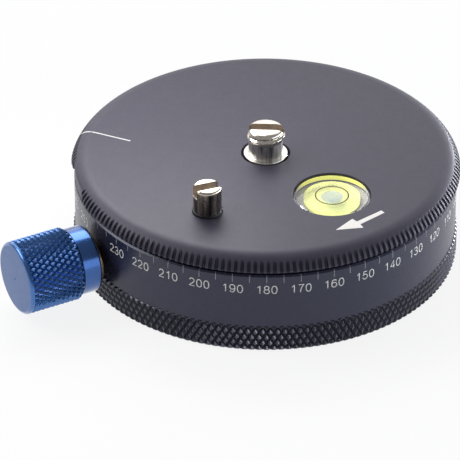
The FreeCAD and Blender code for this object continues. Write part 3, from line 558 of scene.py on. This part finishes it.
def band_at(angle):
    """What lays a point on the graduated band: x runs to the right of that plan angle, y upwards."""
    def put(across, height, proud):
        radius = SCALE_RADIUS - max(0.0, height - (SCALE_TOP - SCALE_CHAMFER)) + proud
        turned = angle + across / SCALE_RADIUS
        return radius * math.cos(turned), radius * math.sin(turned), height
    return put


def add_ribbon(corners, faces, line, width, closed, put):
    """Adds a stroke along a flat line, as a thin strip that put(x, y, proud) lays on a surface."""
    line = np.array(line, float)
    count = len(line)
    ahead = np.roll(line, -1, 0) - line
    if not closed:
        ahead[-1] = ahead[-2]
    ahead /= np.linalg.norm(ahead, axis=1)[:, None]
    behind = np.roll(ahead, 1, 0)
    if not closed:
        behind[0] = ahead[0]
    way = ahead + behind
    way /= np.linalg.norm(way, axis=1)[:, None]
    side = np.column_stack([-way[:, 1], way[:, 0]])
    cosine = (side * np.column_stack([-ahead[:, 1], ahead[:, 0]])).sum(1)
    stretch = 1 / np.maximum(SHARPEST_CORNER, cosine)
    reach = side * (stretch * width / 2)[:, None]
    start = len(corners)
    for spot, off in zip(line, reach):
        for proud in (STROKE_TOP, STROKE_BOTTOM):
            corners.append(put(*(spot + off), proud))
            corners.append(put(*(spot - off), proud))
    for k in range(count if closed else count - 1):
        a = start + 4 * k
        b = start + 4 * ((k + 1) % count)
        faces += [(a, b, b + 1, a + 1), (a + 2, a + 3, b + 3, b + 2)]
        faces += [(a, a + 2, b + 2, b), (a + 1, b + 1, b + 3, a + 3)]
    if not closed:
        end = start + 4 * (count - 1)
        faces += [(start, start + 1, start + 3, start + 2), (end, end + 2, end + 3, end + 1)]


def bow(x, y, wide, tall, start, stop, power=2.0):
    """Points of an arc of an oval about (x, y), in degrees. A power above 2 squares the oval."""
    steps = max(4, int(abs(stop - start) / BOW_STEP))
    points = []
    for k in range(steps + 1):
        turned = math.radians(start + (stop - start) * k / steps)
        c, s = math.cos(turned), math.sin(turned)
        across = wide * math.copysign(abs(c) ** (2 / power), c)
        upwards = tall * math.copysign(abs(s) ** (2 / power), s)
        points.append((x + across, y + upwards))
    return points


def oval(x, y, wide, tall, power=2.0):
    """A closed round stroke about (x, y)."""
    return bow(x, y, wide, tall, 0, 360 - BOW_STEP, power), True


def digit_strokes():
    """The strokes of each digit as (line, closed), in its cell."""
    two = bow(0.26, 0.625, 0.24, 0.25, 170, -38) + [(0.33, 0.34), (0.12, 0.14), (0.0, 0.0), (0.53, 0.0)]
    three_top = bow(0.25, 0.665, 0.21, 0.21, 165, -80) + [(0.2, 0.46)]
    three_low = bow(0.255, 0.232, 0.262, 0.232, 88, -165)
    five = [(0.47, 0.875), (0.12, 0.875), (0.05, 0.44)] + bow(0.25, 0.285, 0.27, 0.285, 140, -165)
    six_back = [(0.49, 0.70), (0.44, 0.80), (0.36, 0.86), (0.27, 0.875), (0.17, 0.84), (0.08, 0.75)]
    six_back += [(0.025, 0.60), (0.008, 0.44), (0.012, 0.28)]
    six = [oval(0.265, 0.275, 0.255, 0.275), (six_back, False)]
    nine = [([(CELL_WIDTH - x, CELL_HEIGHT - y) for x, y in line], closed) for line, closed in six]
    return {
        "0": [oval(0.265, 0.4375, 0.255, 0.4375, 2.3)],
        "1": [([(0.35, 0.0), (0.35, 0.86), (0.33, 0.86), (0.25, 0.76), (0.12, 0.67)], False)],
        "2": [(two, False)],
        "3": [(three_top, False), (three_low, False)],
        "4": [([(0.40, 0.0), (0.40, 0.86), (0.0, 0.24), (0.55, 0.24)], False)],
        "5": [(five, False)],
        "6": six,
        "7": [([(0.0, 0.875), (0.53, 0.875), (0.36, 0.62), (0.25, 0.34), (0.20, 0.0)], False)],
        "8": [oval(0.265, 0.66, 0.215, 0.215), oval(0.265, 0.23, 0.26, 0.23)],
        "9": nine,
    }


def make_scale(looks):
    """The degree scale of the band: a tick every 5 degrees and a figure every 10."""
    zero = math.radians(90.557)
    tick_foot, tick_top, tick_width = 18.4, 20.26, 0.16
    figure_foot, tall, advance, stroke = 15.55, 2.02, 1.75, 0.22
    tick = [(0, tick_foot), (0, SCALE_TOP - SCALE_CHAMFER), (0, tick_top)]
    ticks, tick_faces = [], []
    figures, figure_faces = [], []
    strokes = digit_strokes()
    figure_width = CELL_WIDTH * tall / CELL_HEIGHT
    for degrees in range(0, 360, 5):
        put = band_at(zero - math.radians(degrees))
        add_ribbon(ticks, tick_faces, tick, tick_width, False, put)
        if degrees % 10 or degrees == HIDDEN_FIGURE:
            continue
        text = str(degrees)
        for k, digit in enumerate(text):
            left = -(advance * (len(text) - 1) + figure_width) / 2 + k * advance
            for line, closed in strokes[digit]:
                sized = np.array(line) * tall / CELL_HEIGHT
                add_ribbon(figures, figure_faces, sized + (left, figure_foot), stroke, closed, put)
    place(new_piece("scale_ticks", ticks, tick_faces, [looks["tick"]]), "base", "black_anodised")
    place(new_piece("scale_figures", figures, figure_faces, [looks["figure"]]), "base", "black_anodised")


# ---------------------------------------------------------------- turning plate

def rim_height(radius):
    """Height of the plate's outside at that radius: flat, then rounded."""
    past = max(0.0, radius - ROUND_START)
    return PLATE_TOP - PLATE_ROUND + math.sqrt(PLATE_ROUND ** 2 - past ** 2)


def rim_flutes(flutes):
    """A shape for turn: that many steep flutes in the plate's rim, deepest at the top, and one smooth
    gap in them. Outside the gap the skirt is stepped back."""
    top, deepest, shallowest = 24.0, 44.35, 45.3
    floor_rise, wall_start, wall_rise, land, inset = 0.4, 0.4, 6.0, 0.7, 0.06
    gap_middle, gap_half, gap_ease = 102.25, 4.25, 3.5
    skirt_step = 0.7

    def shape(radius, angle, height):
        flute = flutes * angle / TURN
        outside = np.clip((abs(flute - gap_middle) - gap_half) / gap_ease, 0, 1)
        gap = outside == 0
        away = zigzag(flute)
        down = min(1.0, max(0.0, (top - height) / (top - RIM_BOTTOM)))
        floor = deepest + (shallowest - deepest) * down ** 2 + floor_rise * away
        wall = floor + wall_rise * np.maximum(0, away - wall_start)
        cut = np.where(away < land, wall - inset, PLATE_RADIUS)
        crest = SKIRT_RADIUS + (PLATE_RADIUS - SKIRT_RADIUS) * np.sqrt(1 - (1 - outside) ** 2)
        rim = np.minimum(np.minimum(radius, crest), np.where(gap, SKIRT_RADIUS, cut))
        on_skirt = (height <= RIM_BOTTOM) & (abs(radius - SKIRT_RADIUS) < 0.2)
        return np.where(on_skirt & ~gap, radius - skirt_step, rim)
    return shape


def plate_profile():
    """The turning plate's outline: out along its underside, round the rim, back over the top and down
    into the camera screw's hole."""
    steps = 18
    edge = 0.1
    bevel = 0.15
    skirt_bore = 43.6
    reach = PLATE_RADIUS - ROUND_START
    radii = [ROUND_START + reach * math.sin(math.pi / 2 * k / steps) for k in range(steps, -1, -1)]
    profile = [(STUD_HOLE, PLATE_UNDERSIDE), (SPIGOT_RADIUS, PLATE_UNDERSIDE)]
    profile += [(SPIGOT_RADIUS, RIM_UNDERSIDE), (skirt_bore, RIM_UNDERSIDE), (skirt_bore, SKIRT_BOTTOM)]
    profile += [(SKIRT_RADIUS - edge, SKIRT_BOTTOM), (SKIRT_RADIUS, SKIRT_BOTTOM + edge)]
    profile += [(SKIRT_RADIUS, RIM_BOTTOM), (PLATE_RADIUS - edge, RIM_BOTTOM)]
    profile += [(PLATE_RADIUS, RIM_BOTTOM + edge)]
    profile += [(radius, rim_height(radius)) for radius in radii]
    profile += [(COUNTERBORE + bevel, PLATE_TOP), (COUNTERBORE, PLATE_TOP - bevel)]
    profile += [(COUNTERBORE, STUD_SEAT), (STUD_HOLE, STUD_SEAT)]
    return profile


def make_plate(looks):
    """The turning plate with its fluted rim, and with the seats of the level and the pin."""
    flutes, phase = 192, 0.47
    pocket, pocket_edge, pin_hole, collar_seat = 9.08, 0.1, 2.51, 3.6
    above = PLATE_TOP + 1
    finish = [looks["plate"]]
    plate = turn("turning_plate", plate_profile(), flutes * 10, finish, rim_flutes(flutes), creased=True)
    plate.data.transform(Matrix.Rotation(-phase * TURN / flutes, 4, "Z"))
    level = [(0, LEVEL_FLOOR), (pocket, LEVEL_FLOOR), (pocket, PLATE_TOP - pocket_edge)]
    level += [(pocket + pocket_edge, PLATE_TOP), (9.5, above), (0, above)]
    pin = [(0, PIN_FOOT), (pin_hole, PIN_FOOT), (pin_hole, PIN_SEAT), (collar_seat, PIN_SEAT)]
    pin += [(collar_seat, above), (0, above)]
    level_seat = lathe_at(turn("pocket", level, 128), *LEVEL_PLACE)
    pin_seat = lathe_at(turn("seat", pin, 96), *PIN_PLACE)
    carve(plate, [level_seat, pin_seat])
    place(plate, "platform", "black_anodised", "top_plate")


def on_plate(x, y, proud):
    """A point on the plate's top or rounded rim."""
    return x, y, rim_height(math.hypot(x, y)) + proud


def make_index_line(looks):
    """The index line, which runs from the plate's top over its rounded rim."""
    bends = [(-31.9, 4.66), (-41.7, 8.87), (-43.9, 10.3)]
    steps, width = 12, 0.38
    line = []
    for start, stop in zip(bends, bends[1:]):
        line += [np.array(start) + (np.array(stop) - start) * k / steps for k in range(steps)]
    corners, faces = [], []
    add_ribbon(corners, faces, [*line, bends[-1]], width, False, on_plate)
    place(new_piece("index_line", corners, faces, [looks["line"]], 50), "platform", "black_anodised")


def make_turn_arrow(looks):
    """The arrow that shows which way the figures run."""
    outline = [(16.14, -33.01), (22.43, -31.99), (21.77, -30.58), (27.38, -25.70)]
    outline += [(26.69, -24.74), (20.99, -29.46), (19.95, -28.34)]
    count = len(outline)
    corners = [(x, y, PLATE_TOP + proud) for proud in (STROKE_BOTTOM, 0.02) for x, y in outline]
    faces = [tuple(range(count))[::-1], tuple(range(count, 2 * count))]
    faces += [(k, (k + 1) % count, (k + 1) % count + count, k + count) for k in range(count)]
    place(new_piece("turn_arrow", corners, faces, [looks["arrow"]]), "platform", "black_anodised")


def make_camera_screw(looks):
    """The camera screw: shoulder, plain neck, about one and a half turns of thread, domed tip and
    coin slot."""
    foot, foot_radius, foot_top = 14.4, 4.5, 14.7
    root, crest = 4.05, 4.6
    low, high, run_in, start = 28.9, 31.4, 1.2, 0.148
    taper_from, taper = 30.4, 0.45
    slot_size, slot_centre, slot_turn = (14, 2.6, 3.8), (0, 0.1, STUD_TOP), -2.5
    rows = []
    for height in levels(low, high, THREAD_PITCH / 14):
        rows.append((crest - taper * max(0.0, height - taper_from), height))
    profile = [(0, foot), (foot_radius, foot), (THREAD_MAJOR, foot_top), (THREAD_MAJOR, STUD_SEAT)]
    profile += [(SHOULDER, STUD_SEAT), (SHOULDER, PLATE_TOP - 0.1), (SHOULDER - 0.08, PLATE_TOP)]
    profile += [(root + 0.1, PLATE_TOP), (root, PLATE_TOP + 0.1), (root, low - 0.1), *rows]
    profile += [(root, 31.6), (3.8, 31.84), (3.4, 32.0), (2.8, STUD_TOP), (0, STUD_TOP)]
    thread = outer_thread(crest, root, start)

    def shape(radius, angle, height):
        if not low <= height <= high:
            return radius
        share = min(1.0, (height - low) / run_in)
        return root + (thread(radius, angle, height) - root) * share

    finishes = [looks["nickel"], looks["polished"], looks["neck"]]
    screw = turn("camera_screw", profile, 144, finishes, shape, smooth_angle=40)
    # The neck's faces get the streaks of painted reflection.
    for side in screw.data.polygons:
        height = side.center.z / MM
        if abs(height - PLATE_TOP) < 0.05:
            side.material_index = 1
        elif PLATE_TOP < height < low:
            side.material_index = 2
    carve(screw, [new_box("slot", slot_size, slot_centre, [looks["slot"]])], smooth_angle=40)
    screw.data.transform(Matrix.Rotation(math.radians(slot_turn), 4, "Z"))
    place(screw, "platform", "bright_steel", "camera_stud")


def make_pin(looks):
    """The slotted anti-twist pin, finely grooved, its collar sunk in the spot face."""
    top, radius, screwed, collar, collar_top = 31.85, 3.30, 2.5, 3.55, 25.55
    grooves_from, groove, step = 25.8, 0.03, 0.6
    slot_size = (10, 2.6, 4.7)
    rows = []
    for k in range(int((top - 0.6 - grooves_from) / step)):
        rows += [(radius, grooves_from + k * step), (radius - groove, grooves_from + (k + 0.5) * step)]
    profile = [(0, PIN_FOOT), (screwed, PIN_FOOT), (screwed, PIN_SEAT), (collar, PIN_SEAT)]
    profile += [(collar, collar_top), (3.48, 25.66), (radius, 25.7), *rows]
    profile += [(radius, top - 0.55), (3.24, top - 0.3), (3.10, top - 0.08), (2.9, top), (0, top)]
    finishes = [looks["pin"], looks["black_steel"], looks["pin_side"]]
    pin = turn("anti_twist_pin_slotted", profile, 96, finishes, smooth_angle=50)
    # The collar's faces get black as painted shade, where the collar sinks into its seat.
    for side in pin.data.polygons:
        if side.center.z < 25.72 * MM and math.hypot(side.center.x, side.center.y) > radius * MM:
            side.material_index = 1
        # The pin's side gets the streaks of painted reflection.
        elif side.center.z < (top - 0.5) * MM:
            side.material_index = 2
    carve(pin, [new_box("slot", slot_size, (0, 0, top), [looks["slot"]])], smooth_angle=50)
    lathe_at(pin, *PIN_PLACE, PIN_TURN)
    place(pin, "platform", "bright_steel", "anti_twist_pin")


# ---------------------------------------------------------------- spirit level

def flat_ring(inner, outer, low, high):
    """The outline of a ring with a rectangular section."""
    return [(inner, low), (outer, low), (outer, high), (inner, high)]


def bubble_hollow(top):
    """The outline of the hollow that the air bubble leaves in the liquid below that height."""
    sphere, rim, steps = 4.216, 2.62, 12
    low = sphere - math.sqrt(sphere ** 2 - rim ** 2)
    hollow = [(0, top - low)]
    for k in range(1, steps + 1):
        angle = math.asin(rim / sphere) * k / steps
        hollow.append((sphere * math.sin(angle), top - low + sphere * (1 - math.cos(angle))))
    return hollow


def make_level(looks):
    """The spirit level: a clear cup in a sleeve that carries a painted reflection, yellow at the back for
    the liquid that the cup's wall mirrors, and a faint painted glow; on a gasket, with its liquid and a
    printed ring."""
    wall, bore, foot, bevel = 8.7, 6.58, 21.05, 0.18
    reflection_sleeve = wall + 0.1
    fill, fill_floor, fill_top = 6.6, 21.68, 23.92
    cup = [(0, LEVEL_CEILING), (bore, LEVEL_CEILING), (bore, foot), (wall, foot)]
    cup += [(wall, LEVEL_TOP - bevel), (wall - bevel, LEVEL_TOP), (0, LEVEL_TOP)]
    liquid = [(0, fill_floor), (fill, fill_floor), (fill, fill_top), *bubble_hollow(fill_top)[::-1]]
    # The sleeve is a sheet that carries the painted reflection of the liquid and a faint painted glow.
    reflection_tube = flat_ring(wall + 0.03, reflection_sleeve, 21.9, 24.45)
    bed = flat_ring(6.62, reflection_sleeve, 20.92, 21.02)
    mark = flat_ring(3.66, 3.98, LEVEL_TOP - 0.02, LEVEL_TOP + 0.02)
    for name, profile, columns, look, slot, nodes in (
        ("level_cup", cup, 128, "acrylic", "clear_acrylic", ["level_body"]),
        ("level_reflection_sleeve", reflection_tube, 128, "reflection_sleeve", "level_liquid", []),
        ("level_gasket", bed, 96, "gasket", "grey_plastic", []),
        ("level_fluid", liquid, 128, "liquid", "level_liquid", ["level_liquid"]),
        ("level_circle", mark, 128, "ring", "clear_acrylic", []),
    ):
        piece = lathe_at(turn(name, profile, columns, [looks[look]]), *LEVEL_PLACE)
        place(piece, "platform", slot, *nodes)


# ---------------------------------------------------------------- lock

def knob_profile(radius, rows, back, face):
    """The lock knob's outline: bore, recess, collar, groove, grip with a rounded edge, and face."""
    bore, bore_end, seat = 3.0, 61.0, 47.6
    recess, collar, groove = 7.42, 7.93, 7.3
    collar_back, collar_front = 47.2, KNOB_COLLAR_FRONT
    edge, steps, dimple, dimple_depth = KNOB_EDGE, 8, 0.35, 0.3
    arc = [math.radians(90 * k / steps) for k in range(1, steps + 1)]
    profile = [(bore, seat), (recess, seat), (recess, collar_back), (7.58, collar_back)]
    profile += [(7.85, collar_back + 0.12), (collar, collar_back + 0.35), (collar, collar_back + 0.5)]
    profile += [(collar, collar_front), (groove, collar_front), (groove, back), (radius - 0.6, back)]
    profile += [(radius, height) for height in rows]
    profile += [(radius - edge + edge * math.cos(a), face - edge + edge * math.sin(a)) for a in arc]
    profile += [(dimple, face), (0, face - dimple_depth), (0, bore_end), (bore, bore_end)]
    return profile


def make_knob(looks):
    """The lock knob: smooth collar, groove, knurled grip and satin face with its centre mark."""
    radius, back, face = 8.72, 51.9, 65.8
    count, depth, flat, fineness = 38, 0.56, 0.1, 8
    middle = (back + face) / 2
    rise = TURN * radius / count / math.tan(math.radians(30))
    body = knurl(radius, depth, count, rise, middle, flat)

    def shape(reach, angle, height):
        return body(reach, angle, height) if back < height < face - 0.9 else reach

    rows = levels(back + 0.5, face - KNOB_EDGE, rise / fineness, middle)
    profile = knob_profile(radius, rows, back, face)
    finishes = [looks["blue"], looks["blue_face"], looks["blue_collar"]]
    knob = turn("lock_knob_grip", profile, count * fineness, finishes, shape, creased=True, smooth_angle=20)
    for side in knob.data.polygons:
        if side.center.z > (face - 0.02) * MM:
            side.material_index = 1
        elif side.center.z < KNOB_COLLAR_FRONT * MM:
            side.material_index = 2
    turned = Matrix.Rotation(math.radians(LOCK_AZIMUTH), 4, "Z") @ Matrix.Rotation(math.radians(90), 4, "Y")
    knob.data.transform(Matrix.Translation((0, 0, LOCK_HEIGHT * MM)) @ turned)
    place(knob, "lock_knob", "blue_anodised", "knob")


# ---------------------------------------------------------------- studio

def make_camera():
    """The photo's camera, fitted by least squares to the scale's ticks and the head's outlines."""
    elevation, distance, aim_height = math.radians(32.624), 1010.6, 18.43
    yaw, pitch, roll = -0.0082, -0.0126, math.radians(0.033)
    sensor, focal_pixels, picture_pixels = 36, 4288.8, 460
    ahead = Vector((0, math.cos(elevation), -math.sin(elevation)))
    up = Vector((0, math.sin(elevation), math.cos(elevation)))
    ahead = (ahead + math.tan(yaw) * Vector((1, 0, 0)) + math.tan(pitch) * up).normalized()
    level_right = ahead.cross(Vector((0, 0, 1))).normalized()
    level_up = level_right.cross(ahead)
    right = math.cos(roll) * level_right + math.sin(roll) * level_up
    above = math.cos(roll) * level_up - math.sin(roll) * level_right
    lens = bpy.data.cameras.new("camera")
    lens.sensor_width = sensor
    lens.lens = sensor * focal_pixels / picture_pixels
    lens.clip_start, lens.clip_end = 0.05, 20
    camera = bpy.data.objects.new("camera", lens)
    bpy.context.scene.collection.objects.link(camera)
    spot = Vector((0, -distance * math.cos(elevation), distance * math.sin(elevation) + aim_height)) * MM
    facing = Matrix((right, above, -ahead)).transposed().to_4x4()
    camera.matrix_world = Matrix.Translation(spot) @ facing
    bpy.context.scene.camera = camera


def add_lamp(name, spot, aim, size, power, color=(1, 1, 1)):
    """A soft rectangular lamp, its places and size in metres."""
    light = bpy.data.lights.new(name, "AREA")
    light.shape = "RECTANGLE"
    light.size, light.size_y = size
    light.energy = power
    light.color = color
    lamp = bpy.data.objects.new(name, light)
    bpy.context.scene.collection.objects.link(lamp)
    lamp.location = spot
    lamp.rotation_mode = "QUATERNION"
    lamp.rotation_quaternion = (Vector(aim) - Vector(spot)).to_track_quat("-Z", "Y")
    lamp.visible_camera = False


def add_math(look, operation, first, second):
    """What a math node makes of one output and another output or number."""
    node = add_node(look, "ShaderNodeMath")
    node.operation = operation
    look.node_tree.links.new(first, node.inputs[0])
    if isinstance(second, float):
        node.inputs[1].default_value = second
    else:
        look.node_tree.links.new(second, node.inputs[1])
    return node.outputs[0]


def seen_directly(look):
    """1 for camera, glossy and transmission rays, and 0 for the others."""
    path = add_node(look, "ShaderNodeLightPath")
    shown = add_math(look, "MAXIMUM", path.outputs["Is Camera Ray"], path.outputs["Is Glossy Ray"])
    return add_math(look, "MAXIMUM", shown, path.outputs["Is Transmission Ray"])


def make_world(strength):
    """A plain pale surrounding."""
    world = bpy.data.worlds.new("studio")
    world.use_nodes = True
    shown = world.node_tree.nodes["Background"]
    shown.inputs["Color"].default_value = (1, 1, 1, 1)
    shown.inputs["Strength"].default_value = strength
    bpy.context.scene.world = world


def make_floor():
    """A plain pale floor. Where it is seen most of its white is its own, which keeps its shadow soft."""
    half, drop, own_share = 3.0, 0.0003, 0.86
    corners = [(-half, -half, -drop), (half, -half, -drop), (half, half, -drop), (-half, half, -drop)]
    mesh = bpy.data.meshes.new("floor")
    mesh.from_pydata(corners, [], [(0, 1, 2, 3)])
    floor = bpy.data.objects.new("floor", mesh)
    bpy.context.scene.collection.objects.link(floor)
    look = new_look("floor_white", (0.85, 0.85, 0.85), Roughness=0.9, Specular_IOR_Level=0.0)
    vary_color(look, (0.84, 0.84, 0.84), (0.86, 0.86, 0.86), 0.01)
    share = add_math(look, "MULTIPLY", seen_directly(look), own_share)
    show_instead(look, share, add_node(look, "ShaderNodeEmission", Strength=1.0))
    mesh.materials.append(look)
    floor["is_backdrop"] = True


def make_studio():
    """Camera, floor, surroundings and soft lamps."""
    make_camera()
    make_floor()
    make_world(0.28)
    add_lamp("lamp_back", (-0.15, 1.08, 0.86), (0, 0, 0), (2.6, 1.75), 18.5)
    add_lamp("lamp_top", (-0.26, 0.57, 0.65), (0, 0, 0.02), (0.3, 0.3), 1.2)
    add_lamp("lamp_strip", (0.75, 0.02, 0.03), (0, 0, 0.01), (0.80, 0.05), 1.5, (0.92, 0.95, 1.0))
    add_lamp("lamp_strip_back", (0.50, 0.38, 0.03), (0, 0, 0.01), (0.60, 0.05), 4.2, (0.92, 0.95, 1.0))
    add_lamp("lamp_right", (0.80, -0.24, 0.21), (0, 0, 0.01), (1.10, 0.42), 2.3, (0.80, 0.88, 1.0))
    add_lamp("lamp_left", (-0.80, 0.05, 0.58), (0, 0, 0.01), (0.5, 0.5), 4.0)
    add_lamp("lamp_glow", (-0.036, 0.022, 0.080), (-0.036, -0.060, 0.025), (0.07, 0.05), 0.034)


# ---------------------------------------------------------------- the whole

CAD_LOOKS = {
    "base_screws": "black_steel",
    "housing": "band",
    "journal_sleeve": "brass",
    "thrust_ring": "slide",
    "lock_bush": "brass",
    "hub": "aluminium",
    "plate_screws": "black_steel",
    "retaining_nut": "aluminium",
    "disc_spring": "steel",
    "level_plug": "plug",
    # The bubble gets the grey-blue veil of painted reflection.
    "level_bubble": "air",
    "brake_shoe": "brass",
    # The lock screw gets the zinc darkened as painted shade.
    "lock_screw": "zinc_painted_shade",
}


def keep_sizes(cad_box):
    """Lists the CAD model's box and the dressed model's side by side, and keeps neither."""
    boxes = {"cad": cad_box, "visual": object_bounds()}
    {name: [list(corner) for corner in box] for name, box in boxes.items()}


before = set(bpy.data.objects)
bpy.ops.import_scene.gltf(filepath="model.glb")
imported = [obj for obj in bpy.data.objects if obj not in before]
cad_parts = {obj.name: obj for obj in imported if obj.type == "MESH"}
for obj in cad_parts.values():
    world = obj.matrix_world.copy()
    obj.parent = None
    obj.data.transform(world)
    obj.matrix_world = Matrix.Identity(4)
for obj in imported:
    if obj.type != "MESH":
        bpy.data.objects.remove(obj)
cad_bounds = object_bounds()
bpy.context.scene.view_settings.view_transform = "Standard"
make_studio()
looks = make_looks()
for node, look in CAD_LOOKS.items():
    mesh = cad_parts[node].data
    mesh.materials.clear()
    mesh.materials.append(looks[look])
make_foot(looks)
make_socket(looks)
make_scale(looks)
make_plate(looks)
make_index_line(looks)
make_turn_arrow(looks)
make_camera_screw(looks)
make_pin(looks)
make_level(looks)
make_knob(looks)
keep_sizes(cad_bounds)
